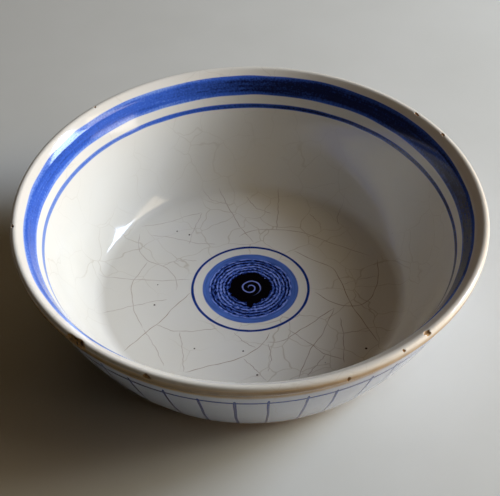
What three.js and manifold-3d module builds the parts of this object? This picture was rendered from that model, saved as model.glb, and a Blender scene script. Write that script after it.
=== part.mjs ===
// A wide, shallow ceramic bowl: a thrown clay body with a rolled rim and a turned foot,
// a coat of white glaze inside and one outside, and cobalt brushwork.
// Millimetres, +Z up. The origin is the middle of the foot's resting face.

import * as THREE from 'three';
import { mergeVertices } from 'three/addons/utils/BufferGeometryUtils.js';
import Module from 'manifold-3d';

// The bowl's outer size and its rim: the crest is near the outer edge, with a broad round inside it
const RIM_DIAMETER = 240;
const BOWL_HEIGHT = 72;
const LIP_RADIUS = 1.9;
const LIP_INNER_RADIUS = 5;
const LIP_DROP = 5.5;
const LIP_TUCK = 0.9;
const LIP_ROUNDING = 1.5;
const LIP_UNDERCUT = THREE.MathUtils.degToRad(45);
const NECK_INSET = 3.7;
const NECK_DROP = 9.7;
const NECK_ROUNDING = 2;

// Floor and wall: a lean is the wall's angle from upright, a sweep is how far it holds that direction
const FLOOR_RADIUS = 77.5;
const FLOOR_THICKNESS = 8;
const COVE_RADIUS = 8.5;
const COVE_LEAN = THREE.MathUtils.degToRad(43);
const INSIDE_LEAN = THREE.MathUtils.degToRad(28);
const INSIDE_SWEEP = 20;
const OUTSIDE_LEAN = THREE.MathUtils.degToRad(16.5);
const OUTSIDE_SWEEP = 20.4;
const BELLY_LEAN = THREE.MathUtils.degToRad(84);
const BELLY_SWEEP = 9.8;

// Turned foot ring
const FOOT_RADIUS = 79;
const FOOT_WIDTH = 8;
const FOOT_HEIGHT = 4;
const FOOT_SHOULDER = 3;
const FOOT_RECESS = 4;
const FOOT_CHAMFER = 0.8;

// Glaze coats, and the paint that sinks into the inside one
const GLAZE_THICKNESS = 1;
const GLAZE_STOP = 3;
const PAINT_DEPTH = 0.3;
const LAYER_GAP = 0.05;

// Painted rings inside: measured along the glaze down from the crest, and by radius on the floor
const RIM_BAND_DROP = 5.8;
const RIM_BAND_WIDTH = 11.4;
const RIM_LINE_GAP = 4.9;
const RIM_LINE_WIDTH = 2.4;
const MEDALLION_RING_RADIUS = 31.2;
const MEDALLION_RING_WIDTH = 1.7;
const MEDALLION_WASH_RADIUS = 26;
const MEDALLION_CENTRE_RADIUS = 11.8;

// Brushwork outside, laid on the glaze: one line round the bowl, and upright strokes that hang from it
const OUTSIDE_LINE_DROP = 18.9;
const OUTSIDE_LINE_WIDTH = 1.9;
const STROKE_COUNT = 44;
const STROKE_WIDTH = 1.7;
const STROKE_RISE = 3;
const STROKE_CLEAR = 2;
const LINE_FILM = 0.2;
const STROKE_FILM = 0.26;

// Facets: round the bowl, and along each stretch of the skin's curve
const ROUND_FACETS = 56;
const SKIN_FACETS = { floor: 1, cove: 2, inside: 3, lipInside: 3, lipOutside: 2, lipUnder: 2, neck: 1, outside: 5 };

const COLOURS = { clay: 0xa27a55, glaze: 0xe8e5dd, cobalt: 0x2d4192, wash: 0x5c74b4, ink: 0x20222c };
const GLOSS = 0.18;
const BISQUE = 0.85;

const RIM_RADIUS = RIM_DIAMETER / 2;
const FLOOR_LEVEL = FOOT_RECESS + FLOOR_THICKNESS;
const CLAY_DEPTH = GLAZE_THICKNESS + LAYER_GAP;

const wasm = await Module();
wasm.setup();

/** Unit direction that leans outwards from upright by an angle, in the radius and height plane. */
function leaning(angle) {
  return new THREE.Vector2(Math.sin(angle), Math.cos(angle));
}

/** A smooth curve between two points that leaves and arrives along the given arms. */
function sweep(start, startArm, end, endArm) {
  return new THREE.CubicBezierCurve(start, start.clone().add(startArm), end.clone().add(endArm), end);
}

/**
 * The bowl's finished surface as one curve of radius and height: from the middle of the floor,
 * up the inside, over the lip and the neck under it, and down the outside to the foot's shoulder.
 */
function skinStretches() {
  const crestRadius = RIM_RADIUS - LIP_RADIUS;
  const arc = (across, up, radius, from, to) =>
    new THREE.EllipseCurve(across, up, radius, radius, from, to, from > to);
  const cove = arc(FLOOR_RADIUS, FLOOR_LEVEL + COVE_RADIUS, COVE_RADIUS, -Math.PI / 2, -COVE_LEAN);
  const innerLevel = BOWL_HEIGHT - LIP_INNER_RADIUS;
  const lipInside = arc(crestRadius, innerLevel, LIP_INNER_RADIUS, Math.PI - INSIDE_LEAN, Math.PI / 2);
  const lipOutside = arc(crestRadius, BOWL_HEIGHT - LIP_RADIUS, LIP_RADIUS, Math.PI / 2, 0);

  const centre = new THREE.Vector2(0, FLOOR_LEVEL);
  const floorEdge = new THREE.Vector2(FLOOR_RADIUS, FLOOR_LEVEL);
  const coveEnd = cove.getPoint(1);
  const lipStart = lipInside.getPoint(0);
  const lipSide = lipOutside.getPoint(1);
  const lipEnd = new THREE.Vector2(RIM_RADIUS - LIP_TUCK, BOWL_HEIGHT - LIP_DROP);
  const neck = new THREE.Vector2(RIM_RADIUS - NECK_INSET, BOWL_HEIGHT - NECK_DROP);
  const shoulder = new THREE.Vector2(FOOT_RADIUS + FOOT_SHOULDER, FOOT_HEIGHT);

  const overCove = leaning(COVE_LEAN).multiplyScalar(INSIDE_SWEEP);
  const underLip = leaning(INSIDE_LEAN).multiplyScalar(-INSIDE_SWEEP);
  const lipFace = new THREE.Vector2(0, -LIP_ROUNDING);
  const overBead = leaning(LIP_UNDERCUT).multiplyScalar(LIP_ROUNDING);
  const underBead = leaning(LIP_UNDERCUT).multiplyScalar(-NECK_ROUNDING);
  const overNeck = leaning(OUTSIDE_LEAN).multiplyScalar(NECK_ROUNDING);
  const underNeck = leaning(OUTSIDE_LEAN).multiplyScalar(-OUTSIDE_SWEEP);
  const belly = leaning(BELLY_LEAN).multiplyScalar(BELLY_SWEEP);

  return {
    floor: new THREE.LineCurve(centre, floorEdge),
    cove,
    inside: sweep(coveEnd, overCove, lipStart, underLip),
    lipInside,
    lipOutside,
    lipUnder: sweep(lipSide, lipFace, lipEnd, overBead),
    neck: sweep(lipEnd, underBead, neck, overNeck),
    outside: sweep(neck, underNeck, shoulder, belly),
  };
}

const stretches = skinStretches();
const skin = new THREE.CurvePath();
Object.values(stretches).forEach((stretch) => skin.add(stretch));
const SKIN_LENGTH = skin.getLength();
const { floor, cove, inside: wall, lipInside } = stretches;
const CREST = [floor, cove, wall, lipInside].reduce((length, stretch) => length + stretch.getLength(), 0);
const NECK = SKIN_LENGTH - stretches.outside.getLength();

/** Distances along the skin where its facets meet. */
function facetStops() {
  let start = 0;
  return Object.entries(stretches).flatMap(([name, stretch]) => {
    const step = stretch.getLength() / SKIN_FACETS[name];
    const stops = Array.from({ length: SKIN_FACETS[name] }, (_, index) => start + index * step);
    start += stretch.getLength();
    return stops;
  });
}

const FACET_STOPS = facetStops();

/** A place on the skin, by distance from the middle of the floor and depth into the bowl. */
function skinPoint(distance, depth) {
  const share = distance / SKIN_LENGTH;
  const along = skin.getTangent(share);
  const inward = new THREE.Vector2(along.y, -along.x);
  return skin.getPoint(share).addScaledVector(inward, depth);
}

/** Points along a stretch of the skin at one depth, one at each end and one at each facet's edge. */
function skinRun(from, to, depth) {
  const between = FACET_STOPS.filter((stop) => stop > from && stop < to);
  return [from, ...between, to].map((distance) => skinPoint(distance, depth));
}

/** Outline of a layer that follows the skin, between two distances and two depths. */
function layerOutline(from, to, top, bottom) {
  return [...skinRun(from, to, top), ...skinRun(from, to, bottom).reverse()];
}

/** Turns an outline of radius and height about +Z, closing it if it doesn't start on the axis. */
function turned(outline) {
  const profile = outline[0].x > 0 ? [...outline, outline[0]] : outline;
  const geometry = new THREE.LatheGeometry(profile.toReversed(), ROUND_FACETS);
  return geometry.rotateX(Math.PI / 2);
}

// Stretches of the inside skin that hold paint, from the middle of the floor outwards
const bandTop = CREST - RIM_BAND_DROP;
const bandFoot = bandTop - RIM_BAND_WIDTH;
const lineTop = bandFoot - RIM_LINE_GAP;
const PAINTED = {
  medallion: { from: 0, to: MEDALLION_WASH_RADIUS },
  medallionRing: {
    from: MEDALLION_RING_RADIUS - MEDALLION_RING_WIDTH / 2,
    to: MEDALLION_RING_RADIUS + MEDALLION_RING_WIDTH / 2,
  },
  rimLine: { from: lineTop - RIM_LINE_WIDTH, to: lineTop },
  rimBand: { from: bandFoot, to: bandTop },
};

/** The fired clay under the glaze, with its foot ring and the shallow recess inside that ring. */
function clayBody() {
  const sole = FOOT_RADIUS - FOOT_WIDTH;
  const wallEnd = skinPoint(SKIN_LENGTH, CLAY_DEPTH);
  const foot = [
    new THREE.Vector2(FOOT_RADIUS, wallEnd.y),
    new THREE.Vector2(FOOT_RADIUS, FOOT_CHAMFER),
    new THREE.Vector2(FOOT_RADIUS - FOOT_CHAMFER, 0),
    new THREE.Vector2(sole + FOOT_CHAMFER, 0),
    new THREE.Vector2(sole, FOOT_CHAMFER),
    new THREE.Vector2(sole, FOOT_RECESS),
    new THREE.Vector2(0, FOOT_RECESS),
  ];
  return turned([...skinRun(0, SKIN_LENGTH, CLAY_DEPTH), ...foot]);
}

/** The white coat from the floor over the lip to the neck, with a groove under each painted stretch. */
function insideGlaze() {
  const end = NECK - LAYER_GAP / 2;
  const surface = [];
  let from = 0;
  for (const paint of Object.values(PAINTED)) {
    const grooveStart = Math.max(paint.from - LAYER_GAP, 0);
    const grooveEnd = paint.to + LAYER_GAP;
    if (grooveStart > from) {
      surface.push(...skinRun(from, grooveStart, 0));
    }
    surface.push(...skinRun(grooveStart, grooveEnd, PAINT_DEPTH + LAYER_GAP));
    from = grooveEnd;
  }
  surface.push(...skinRun(from, end, 0));
  return turned([...surface, ...skinRun(0, end, GLAZE_THICKNESS).reverse()]);
}

/** The white coat from the neck down to a line above the bare foot. */
function outsideGlaze() {
  return turned(layerOutline(NECK + LAYER_GAP / 2, SKIN_LENGTH - GLAZE_STOP, 0, GLAZE_THICKNESS));
}

/** A painted ring or disc that lies flush in its groove. */
function paintedRing({ from, to }) {
  return turned(layerOutline(from, to, 0, PAINT_DEPTH));
}

/** A closed geometry as a solid that can be joined to others. */
function solidOf(geometry) {
  const bare = geometry.clone();
  bare.deleteAttribute('normal');
  bare.deleteAttribute('uv');
  const merged = mergeVertices(bare);
  const vertProperties = new Float32Array(merged.attributes.position.array);
  const triVerts = new Uint32Array(merged.index.array);
  return new wasm.Manifold(new wasm.Mesh({ numProp: 3, vertProperties, triVerts }));
}

/** A solid back as a geometry. */
function geometryOf(solid) {
  const mesh = solid.getMesh();
  const geometry = new THREE.BufferGeometry();
  geometry.setAttribute('position', new THREE.BufferAttribute(mesh.vertProperties, 3));
  geometry.setIndex(new THREE.BufferAttribute(mesh.triVerts, 1));
  geometry.computeVertexNormals();
  return geometry;
}

/** One brush stroke: a strip that hugs the outside wall, as wide as the brush, turned to its place. */
function brushStroke(from, to, turn) {
  const outline = layerOutline(from, to, -(LAYER_GAP + STROKE_FILM), -LAYER_GAP);
  const brush = { depth: STROKE_WIDTH, bevelEnabled: false };
  const strip = new THREE.ExtrudeGeometry(new THREE.Shape(outline), brush);
  return strip.translate(0, 0, -STROKE_WIDTH / 2).rotateX(Math.PI / 2).rotateZ(turn);
}

/** The outside line and all the strokes, joined where they cross, as one comb of brushwork. */
function outsideStripes() {
  const lineStart = CREST + OUTSIDE_LINE_DROP;
  const line = layerOutline(lineStart, lineStart + OUTSIDE_LINE_WIDTH, -(LAYER_GAP + LINE_FILM), -LAYER_GAP);
  const strokeEnd = SKIN_LENGTH - GLAZE_STOP - STROKE_CLEAR;
  let comb = solidOf(turned(line));
  for (let index = 0; index < STROKE_COUNT; index += 1) {
    const turn = ((index + 0.5) / STROKE_COUNT) * 2 * Math.PI;
    comb = comb.add(solidOf(brushStroke(lineStart - STROKE_RISE, strokeEnd, turn)));
  }
  return geometryOf(comb);
}

/** A named mesh with its own finish. */
function piece(name, geometry, color, roughness) {
  const mesh = new THREE.Mesh(geometry, new THREE.MeshStandardMaterial({ color, roughness, metalness: 0 }));
  mesh.name = name;
  return mesh;
}

const washInner = MEDALLION_CENTRE_RADIUS + LAYER_GAP;
const inside = new THREE.Group();
inside.add(
  piece('inside_glaze', insideGlaze(), COLOURS.glaze, GLOSS),
  piece('rim_band', paintedRing(PAINTED.rimBand), COLOURS.cobalt, GLOSS),
  piece('rim_line', paintedRing(PAINTED.rimLine), COLOURS.cobalt, GLOSS),
  piece('medallion_ring', paintedRing(PAINTED.medallionRing), COLOURS.cobalt, GLOSS),
  piece('medallion_wash', paintedRing({ from: washInner, to: MEDALLION_WASH_RADIUS }), COLOURS.wash, GLOSS),
  piece('medallion_centre', paintedRing({ from: 0, to: MEDALLION_CENTRE_RADIUS }), COLOURS.ink, GLOSS),
);

const outside = new THREE.Group();
outside.add(
  piece('outside_glaze', outsideGlaze(), COLOURS.glaze, GLOSS),
  piece('outside_stripes', outsideStripes(), COLOURS.cobalt, GLOSS),
);

const bowl = new THREE.Group();
bowl.add(piece('clay_body', clayBody(), COLOURS.clay, BISQUE), inside, outside);

export default bowl;
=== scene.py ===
"""Looks of a glazed ceramic bowl: clay, crazed white glaze and cobalt brushwork, with its studio and camera.

Every piece hugs one skin curve, the bowl's finished surface in radius and height. A place on the bowl is a
distance along that curve from the middle of the floor, an angle round the axis, and a lift off the surface.
Angles run anticlockwise from +X as seen from above, so the side that faces the camera is at 270 degrees.
"""

import logging
from dataclasses import dataclass, replace
from enum import Enum
from functools import cached_property, partial
from math import atan2, cos, pi, radians, sin

import bpy
import numpy as np
from mathutils import Matrix, Quaternion, Vector


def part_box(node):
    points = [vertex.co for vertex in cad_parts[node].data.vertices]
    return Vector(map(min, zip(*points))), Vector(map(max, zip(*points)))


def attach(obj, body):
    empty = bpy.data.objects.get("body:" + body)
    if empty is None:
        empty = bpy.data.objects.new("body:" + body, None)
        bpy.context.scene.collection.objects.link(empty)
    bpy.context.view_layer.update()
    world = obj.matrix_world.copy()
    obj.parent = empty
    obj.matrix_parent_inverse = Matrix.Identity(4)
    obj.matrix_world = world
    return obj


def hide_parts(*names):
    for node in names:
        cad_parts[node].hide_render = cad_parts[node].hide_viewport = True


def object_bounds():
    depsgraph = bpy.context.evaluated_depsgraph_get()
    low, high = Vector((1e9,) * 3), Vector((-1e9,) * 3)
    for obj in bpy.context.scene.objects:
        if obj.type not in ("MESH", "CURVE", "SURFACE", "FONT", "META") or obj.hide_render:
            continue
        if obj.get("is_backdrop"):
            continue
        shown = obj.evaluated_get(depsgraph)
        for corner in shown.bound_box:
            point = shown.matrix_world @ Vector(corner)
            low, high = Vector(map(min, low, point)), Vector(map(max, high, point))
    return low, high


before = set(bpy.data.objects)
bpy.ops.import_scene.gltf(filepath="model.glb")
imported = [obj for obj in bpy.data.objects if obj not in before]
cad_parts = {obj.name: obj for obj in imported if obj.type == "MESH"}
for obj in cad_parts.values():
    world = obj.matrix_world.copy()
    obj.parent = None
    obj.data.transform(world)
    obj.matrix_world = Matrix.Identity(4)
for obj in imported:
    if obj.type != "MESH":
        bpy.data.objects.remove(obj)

MM = 0.001
BODY = "root"
BAKE_MAP = "OFBake"
IMAGE_WIDTH = 500
IMAGE_HEIGHT = 496
SENSOR_WIDTH = 36
FULL_TURN = 2 * pi
SHARP_EDGE = radians(40)
GLAZE_IOR = 1.52
MATT_IOR = 1.45
MAP_MIDDLE = 0.5
MAP_REACH = 0.48

Array = np.ndarray
Rgba = tuple[float, float, float, float]
Material = bpy.types.Material
Socket = bpy.types.NodeSocket

log = logging.getLogger("bowl")


class Slot(Enum):
    """Names of the record's material slots."""

    CLAY = "fired_clay"
    GLAZE = "white_glaze"
    COBALT = "cobalt_paint"
    WASH = "cobalt_wash"
    DARK = "dark_paint"


class Mark(Enum):
    """Values that a mesh carries at each point for its material to read."""

    ALONG = "along"
    EDGE = "edge"
    THIN_AND_SHADE = "thin"
    CHIP = "chip"
    STAIN = "stain"


def linear(colour: str) -> Rgba:
    """Turns an sRGB hex colour into the linear values that a shader takes.

    Args:
        colour: six hex digits after a hash sign.

    Returns:
        Red, green, blue and an alpha of one.
    """
    shares = np.array([int(colour[place : place + 2], 16) / 255 for place in (1, 3, 5)])
    # The sRGB standard's curve: a straight foot, then a power.
    red, green, blue = np.where(shares <= 0.04045, shares / 12.92, ((shares + 0.055) / 1.055) ** 2.4)
    return float(red), float(green), float(blue), 1.0


def add_node(
    tree: bpy.types.NodeTree,
    kind: str,
    sockets: dict[int | str, object],
    out: int | str = 0,
    **settings: object,
) -> Socket:
    """Adds a shader node, sets its properties, and fills or links its inputs.

    Args:
        tree: node tree that takes the node.
        kind: Blender's type name of the node, after ShaderNode.
        sockets: a value or an output socket for each input, by its place among the usable inputs or its name.
        out: the output to return, by its place among the usable outputs or its name.
        settings: properties of the node.

    Returns:
        The chosen output socket.
    """
    node = tree.nodes.new("ShaderNode" + kind)
    for name, value in settings.items():
        setattr(node, name, value)
    usable = [socket for socket in node.inputs if socket.enabled]
    for key, value in sockets.items():
        socket = usable[key] if isinstance(key, int) else node.inputs[key]
        if isinstance(value, Socket):
            tree.links.new(value, socket)
        else:
            socket.default_value = value
    outputs = [socket for socket in node.outputs if socket.enabled]
    return outputs[out] if isinstance(out, int) else node.outputs[out]


def waver(angle: Array, reach: float, seed: int, slowest: int = 2, fastest: int = 40) -> Array:
    """Unsteadiness of a hand round the bowl: cosines of whole turns with seeded phases.

    A cosine is weaker the more waves it has, by their number to the power of -0.8.

    Args:
        angle: angles round the axis.
        reach: size of the wobble, as the spread about its middle.
        seed: seed of the phases.
        slowest: fewest waves round the bowl.
        fastest: most waves round the bowl.

    Returns:
        The wobble at each angle.
    """
    turns = np.arange(slowest, fastest)[:, None]
    phases = np.random.default_rng(seed).uniform(0, FULL_TURN, turns.shape)
    weights = turns**-0.8
    waves = weights * np.cos(turns * angle + phases)
    return reach * waves.sum(axis=0) / np.sqrt((weights**2).sum() / 2)


def eased(value: Array, start: float, stop: float) -> Array:
    """Goes smoothly from 0 at start to 1 at stop, by the cubic that is flat at both ends."""
    share = np.clip((value - start) / (stop - start), 0, 1)
    return share * share * (3 - 2 * share)


def swept(start: Array, start_arm: Array, end: Array, end_arm: Array, count: int) -> Array:
    """Cubic curve that leaves one point and arrives at another along the given arms.

    Args:
        start: first point.
        start_arm: step from the first point to its handle.
        end: last point.
        end_arm: step from the last point to its handle.
        count: number of points.

    Returns:
        Points of the curve, one row each.
    """
    share = np.linspace(0, 1, count)[:, None]
    rest = 1 - share
    first_half = rest**3 * start + 3 * rest * rest * share * (start + start_arm)
    second_half = 3 * rest * share * share * (end + end_arm) + share**3 * end
    return first_half + second_half


def leaning(angle: float) -> Array:
    """Unit direction of radius and height that leans outwards from upright by an angle."""
    return np.array([sin(angle), cos(angle)])


@dataclass(frozen=True)
class Skin:
    """The bowl's finished surface as one curve of radius and height.

    It runs from the middle of the floor, up the inside, out over a short flare to the roll of the lip, under
    the lip to the neck, and down the outside to the foot's shoulder. An inset and a drop are measured from
    the rim's edge and its top. A lean is an angle from upright, and a sweep is how far the surface holds
    that direction.
    """

    rim_radius: float
    height: float
    floor_level: float
    lip_radius: float = 1.9 * MM
    roll_radius: float = 2.5 * MM
    roll_lean: float = radians(52)
    flare_inset: float = 8.35 * MM
    flare_drop: float = 5.15 * MM
    flare_bend: float = 0.35 * MM
    flare_sweep: float = 1.6 * MM
    lip_drop: float = 5.5 * MM
    lip_tuck: float = 0.9 * MM
    lip_rounding: float = 1.2 * MM
    lip_undercut: float = radians(45)
    neck_inset: float = 3.7 * MM
    neck_drop: float = 9.7 * MM
    neck_rounding: float = 2 * MM
    floor_radius: float = 77.5 * MM
    cove_radius: float = 8.5 * MM
    cove_lean: float = radians(43)
    inside_lean: float = radians(28)
    inside_sweep: float = 20 * MM
    outside_lean: float = radians(16.5)
    outside_sweep: float = 20.4 * MM
    belly_lean: float = radians(84)
    belly_sweep: float = 9.8 * MM
    shoulder_radius: float = 82 * MM
    shoulder_level: float = 4 * MM
    stretch_points: int = 400

    def arc(self, across: float, up: float, radius: float, start: float, stop: float) -> Array:
        """Points of a round between two angles from level.

        Args:
            across: radius of the bowl at the round's middle.
            up: height of the round's middle.
            radius: radius of the round.
            start: first angle.
            stop: last angle.

        Returns:
            Radius and height of each point.
        """
        turn = np.linspace(start, stop, self.stretch_points)[:, None]
        return np.array([across, up]) + radius * np.hstack([np.cos(turn), np.sin(turn)])

    @cached_property
    def stretches(self) -> dict[str, Array]:
        """Points of each stretch of the curve, by its name: lines, rounds and cubic sweeps end to end.

        Returns:
            Radius and height of each stretch's points.
        """
        centre = np.array([0, self.floor_level])
        floor_edge = np.array([self.floor_radius, self.floor_level])
        flare = np.array([self.rim_radius - self.flare_inset, self.height - self.flare_drop])
        lip_end = np.array([self.rim_radius - self.lip_tuck, self.height - self.lip_drop])
        neck = np.array([self.rim_radius - self.neck_inset, self.height - self.neck_drop])
        shoulder = np.array([self.shoulder_radius, self.shoulder_level])
        crest_radius = self.rim_radius - self.lip_radius
        cove_level = self.floor_level + self.cove_radius
        roll_level = self.height - self.roll_radius
        lip_level = self.height - self.lip_radius

        cove = self.arc(self.floor_radius, cove_level, self.cove_radius, -pi / 2, -self.cove_lean)
        lip_inside = self.arc(crest_radius, roll_level, self.roll_radius, pi - self.roll_lean, pi / 2)
        lip_outside = self.arc(crest_radius, lip_level, self.lip_radius, pi / 2, 0)

        over_cove = self.inside_sweep * leaning(self.cove_lean)
        under_flare = -self.inside_sweep * leaning(self.inside_lean)
        over_flare = self.flare_bend * leaning(self.inside_lean)
        under_roll = -self.flare_sweep * leaning(self.roll_lean)
        lip_face = np.array([0, -self.lip_rounding])
        over_bead = self.lip_rounding * leaning(self.lip_undercut)
        under_bead = -self.neck_rounding * leaning(self.lip_undercut)
        over_neck = self.neck_rounding * leaning(self.outside_lean)
        under_neck = -self.outside_sweep * leaning(self.outside_lean)
        belly = self.belly_sweep * leaning(self.belly_lean)
        count = self.stretch_points
        return {
            "floor": np.linspace(centre, floor_edge, count),
            "cove": cove,
            "inside": swept(cove[-1], over_cove, flare, under_flare, count),
            "flare": swept(flare, over_flare, lip_inside[0], under_roll, count),
            "lip_inside": lip_inside,
            "lip_outside": lip_outside,
            "lip_under": swept(lip_outside[-1], lip_face, lip_end, over_bead, count),
            "neck": swept(lip_end, under_bead, neck, over_neck, count),
            "outside": swept(neck, under_neck, shoulder, belly, count),
        }

    @cached_property
    def curve(self) -> Array:
        """Points of the whole curve, where each stretch leaves out the point that it shares with the last."""
        first, *others = self.stretches.values()
        return np.vstack([first, *(stretch[1:] for stretch in others)])

    @cached_property
    def distances(self) -> Array:
        """Distance along the curve of each of its points."""
        steps = np.linalg.norm(np.diff(self.curve, axis=0), axis=1)
        return np.concatenate([[0], np.cumsum(steps)])

    @cached_property
    def outward(self) -> Array:
        """Unit normals of the curve, out of the clay into the air: each tangent turned by a quarter turn."""
        tangent = np.gradient(self.curve, axis=0)
        tangent /= np.linalg.norm(tangent, axis=1, keepdims=True)
        return np.stack([-tangent[:, 1], tangent[:, 0]], axis=1)

    def end_of(self, stretch: str) -> float:
        """Distance along the curve at which a stretch ends."""
        count = list(self.stretches).index(stretch) + 1
        return float(self.distances[count * (self.stretch_points - 1)])

    def profile(self, distance: Array, lift: Array | float = 0.0) -> tuple[Array, Array]:
        """Radius and height at distances along the curve, moved off it along its normals by the lift.

        Args:
            distance: distances from the middle of the floor.
            lift: height over the surface, below zero for depth under it.

        Returns:
            Radii and heights.
        """
        read = partial(np.interp, distance, self.distances)
        radius = read(self.curve[:, 0]) + lift * read(self.outward[:, 0])
        height = read(self.curve[:, 1]) + lift * read(self.outward[:, 1])
        return radius, height

    def place(self, distance: Array, angle: Array, lift: Array | float = 0.0) -> Array:
        """Points on the bowl: the lifted profile at each distance, turned about the axis by each angle.

        Args:
            distance: distances from the middle of the floor, broadcast against the angles.
            angle: angles round the axis.
            lift: height over the surface.

        Returns:
            Points, with their coordinates along the last axis.
        """
        distance, angle, lift = np.broadcast_arrays(distance, angle, lift)
        radius, height = self.profile(distance, lift)
        return np.stack([radius * np.cos(angle), radius * np.sin(angle), height], axis=-1)

    def fold(
        self, seen: Array, back: Array, angle: Array, lift: Array | float, depth: float
    ) -> tuple[Array, Array]:
        """Points of a sheet that lies on the skin with its seen side and folds back under it.

        Args:
            seen: distances along the skin of the seen side.
            back: distances along the skin of the underside.
            angle: angles round the axis.
            lift: height of the seen side over the surface.
            depth: depth of the underside under the surface.

        Returns:
            Points of both sides, and their distances along the skin.
        """
        points = np.concatenate([self.place(seen, angle, lift), self.place(back, angle, -depth)])
        return points, np.concatenate([seen, back])


@dataclass
class Shell:
    """A closed sheet on a grid of rows and columns whose columns close into a ring.

    The first rows are the side that is seen, and the rest fold back underneath. With poles, the first row
    and the last are one point each. Without, the last row joins the first. The bake map is polar: the seen
    side fills a disc by its spread from the middle and its angle, and the underside takes a small disc in a
    corner, which shrinks as the sheet folds back.
    """

    points: Array
    spread: Array
    angle: Array
    seen_rows: int
    poles: bool
    marks: dict[Mark, Array]

    UNDER_CENTRE = 0.06
    UNDER_RADIUS = 0.05
    UNDER_SHRINK = 0.9

    def flat(self, values: Array) -> Array:
        """Lists values on the grid by mesh point, with each pole once.

        Args:
            values: values by row and column, or ones that broadcast to that.

        Returns:
            One value for each point of the mesh.
        """
        values = np.broadcast_to(values, self.points.shape[:2] + values.shape[2:])
        if not self.poles:
            return values.reshape(-1, *values.shape[2:])
        inner = values[1:-1].reshape(-1, *values.shape[2:])
        return np.concatenate([values[0, :1], inner, values[-1, :1]])

    def faces(self) -> list[tuple[Array, Array]]:
        """Faces of the grid with normals out: down the rows first, then along the columns.

        Returns:
            Groups of point numbers and bake map places, where the faces of a group have as many corners.
        """
        rows, columns = self.points.shape[:2]
        strips = rows - 1 if self.poles else rows
        row, column = np.meshgrid(np.arange(strips), np.arange(columns), indexing="ij")
        corner_row = np.stack([row, row + 1, row + 1, row], axis=-1)
        corner_column = np.stack([column, column, column + 1, column + 1], axis=-1) % columns
        number = (corner_row % rows) * columns + corner_column
        if self.poles:
            number = np.clip(number - columns + 1, 0, (rows - 2) * columns + 1)

        spread = np.broadcast_to(self.spread, (rows, columns))[corner_row % rows, corner_column]
        angle = np.broadcast_to(self.angle, (rows, columns))[corner_row % rows, corner_column]
        outwards = np.stack([np.cos(angle), np.sin(angle)], axis=-1)
        fold = (corner_row - self.seen_rows + 1) / max(rows - self.seen_rows, 1)
        seen = MAP_MIDDLE + spread[..., None] * outwards
        shrunk = self.UNDER_RADIUS * (1 - self.UNDER_SHRINK * fold[..., None])
        under = self.UNDER_CENTRE + shrunk * outwards
        place = np.where(row[..., None, None] < self.seen_rows - 1, seen, under)
        if not self.poles:
            return [(number.reshape(-1, 4), place.reshape(-1, 4, 2))]
        first, last = [0, 1, 2], [0, 1, 3]
        return [
            (number[0][:, first], place[0][:, first]),
            (number[1:-1].reshape(-1, 4), place[1:-1].reshape(-1, 4, 2)),
            (number[-1][:, last], place[-1][:, last]),
        ]


def make_piece(name: str, shells: list[Shell], material: Material) -> bpy.types.Object:
    """Makes one mesh of closed shells, which stands for the solid of the same name where there is one.

    Args:
        name: name of the piece, and of the solid.
        shells: surfaces of the piece.
        material: its finish.

    Returns:
        The object, which rides on the bowl's body.
    """
    points = [shell.flat(shell.points) for shell in shells]
    starts = np.cumsum([0] + [len(listed) for listed in points])
    numbers = []
    places = []
    for shell, start in zip(shells, starts):
        for group, bake_places in shell.faces():
            numbers += (group + start).tolist()
            places.append(bake_places.reshape(-1))
    mesh = bpy.data.meshes.new(name)
    mesh.from_pydata(np.concatenate(points), [], numbers)
    bake_map = mesh.uv_layers.new(name=BAKE_MAP)
    bake_map.data.foreach_set("uv", np.concatenate(places).astype(np.float32))
    for mark in shells[0].marks:
        values = np.concatenate([shell.flat(shell.marks[mark]) for shell in shells])
        attribute = mesh.attributes.new(mark.value, "FLOAT", "POINT")
        attribute.data.foreach_set("value", values.astype(np.float32))
    mesh.shade_smooth()
    mesh.set_sharp_from_angle(angle=SHARP_EDGE)
    mesh.materials.append(material)

    piece = bpy.data.objects.new(f"{name}_look", mesh)
    bpy.context.scene.collection.objects.link(piece)
    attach(piece, BODY)
    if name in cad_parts:
        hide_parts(name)
    log.info("%s: %d points, %d faces", name, len(mesh.vertices), len(mesh.polygons))
    return piece


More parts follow.
